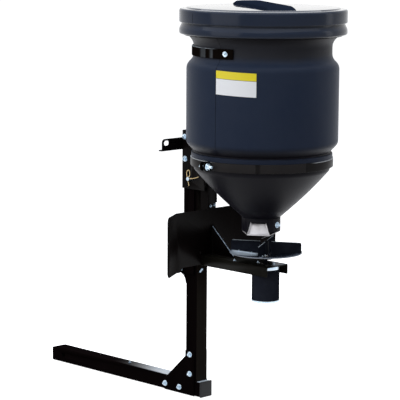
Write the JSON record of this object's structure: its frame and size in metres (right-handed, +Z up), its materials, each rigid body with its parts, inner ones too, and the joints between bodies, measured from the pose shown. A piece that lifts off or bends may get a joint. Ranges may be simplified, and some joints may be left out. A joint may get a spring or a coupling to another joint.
{
  "type": "receiver-mounted broadcast spreader",
  "caption": "Broadcast spreader for a utility vehicle: round plastic hopper with lift-off lid over a motor-driven spinner, carried by a square-tube post on a receiver shank.",
  "frame": {"origin": "centre of the hitch pin's hole through the shank", "axes": "+X along the shank rearward to the hopper, +Y across the vehicle, +Z up"},
  "size_m": [1.2775, 0.537, 1.3338],
  "materials": {
    "frame_black": "satin",
    "tub_plastic": "matte",
    "cap_plastic": "matte",
    "zinc": "satin",
    "plate_steel": "satin",
    "motor_paint": "satin"
  },
  "bodies": {
    "frame": {"arm_web": "frame_black", "clamp_bolt": "zinc", "clamp_ear_front": "frame_black", "clamp_ear_rear": "frame_black", "clamp_ring": "frame_black", "gate_plate": "plate_steel", "gusset_far": "frame_black", "gusset_near": "frame_black", "hopper": "tub_plastic", "hopper_bracket": "frame_black", "lock_pin": "zinc", "mast_flare": "frame_black", "mast_saddle": "frame_black", "motor_base_ring": "plate_steel", "motor_can": "motor_paint", "motor_top_ring": "plate_steel", "neck_stay": "frame_black", "neck_strap": "frame_black", "outlet_collar": "tub_plastic", "packer_far": "frame_black", "packer_near": "frame_black", "post": "frame_black", "shank_cap": "cap_plastic", "shank_tube": "frame_black", "shield": "frame_black", "spinner_arm": "frame_black", "strap_spacer": "frame_black", "tie_bar": "frame_black", "upright": "frame_black"},
    "spinner": {"drive_shaft": "zinc", "spinner_disc": "motor_paint", "spinner_hub": "zinc", "spinner_vane_1": "motor_paint", "spinner_vane_2": "motor_paint", "spinner_vane_3": "motor_paint", "spinner_vane_4": "motor_paint"},
    "lid": {"lid": "tub_plastic", "lid_grip": "tub_plastic"}
  },
  "joints": [
    {"name": "spinner_spin", "type": "hinge", "parent": "frame", "child": "spinner", "pos_m": [0.972, 0, 0.498], "axis": [0, 0, 1], "continuous": true},
    {"name": "lid_lift", "type": "slide", "parent": "frame", "child": "lid", "axis": [0, 0, 1], "range_m": [0, 0.3]}
  ]
}
